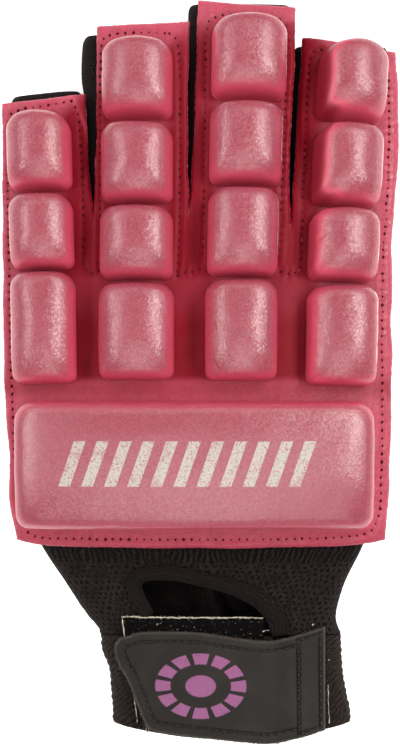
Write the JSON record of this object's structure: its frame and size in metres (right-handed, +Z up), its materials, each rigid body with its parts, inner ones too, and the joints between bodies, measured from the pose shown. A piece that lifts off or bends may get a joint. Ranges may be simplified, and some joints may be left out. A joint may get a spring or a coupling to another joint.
{
  "type": "field hockey glove",
  "caption": "Left-hand field hockey glove lying palm down: moulded foam pads on a slit sheet, hollow cloth hand and finger sleeves, vented gauntlet, elastic cuff and press-on tab.",
  "frame": {"origin": "on the surface that the glove lies on, under the middle of its outline", "axes": "+Y along the hand towards the fingertips, +X towards the index finger side, +Z up out of the back of the hand"},
  "size_m": [0.1112, 0.2062, 0.0409],
  "materials": {
    "pink_foam": "moulded foam with a fine grained skin and a pearly sheen",
    "pink_sheet": "foam sheet with the same grained skin, pressed thinner",
    "sleeve_cloth": "black stretch knit, matt",
    "palm_cloth": "black knit, matt",
    "mesh_knit": "black spacer mesh, matt, with small round holes",
    "knit_tape": "black knit binding tape, matt",
    "elastic": "black woven elastic, ribbed",
    "loop_pile": "black loop pile with a pale frayed edge",
    "coated_tab": "black coated cloth, fine grain, low gloss"
  },
  "bodies": {
    "root": {"back_sheet": "pink_sheet", "knuckle_pad": "pink_foam", "pinky_pad_1": "pink_foam", "pinky_pad_2": "pink_foam", "pinky_pad_3": "pink_foam", "ring_pad_1": "pink_foam", "ring_pad_2": "pink_foam", "ring_pad_3": "pink_foam", "ring_pad_4": "pink_foam", "middle_pad_1": "pink_foam", "middle_pad_2": "pink_foam", "middle_pad_3": "pink_foam", "middle_pad_4": "pink_foam", "index_pad_1": "pink_foam", "index_pad_2": "pink_foam", "index_pad_3": "pink_foam", "index_pad_4": "pink_foam", "pinky_sleeve": "sleeve_cloth", "ring_sleeve": "sleeve_cloth", "middle_sleeve": "sleeve_cloth", "index_sleeve": "sleeve_cloth", "palm_body": "palm_cloth", "gauntlet": "mesh_knit", "vent_binding": "knit_tape", "wrist_band": "elastic", "loop_patch": "loop_pile", "strap_tab": "coated_tab"}
  },
  "joints": []
}
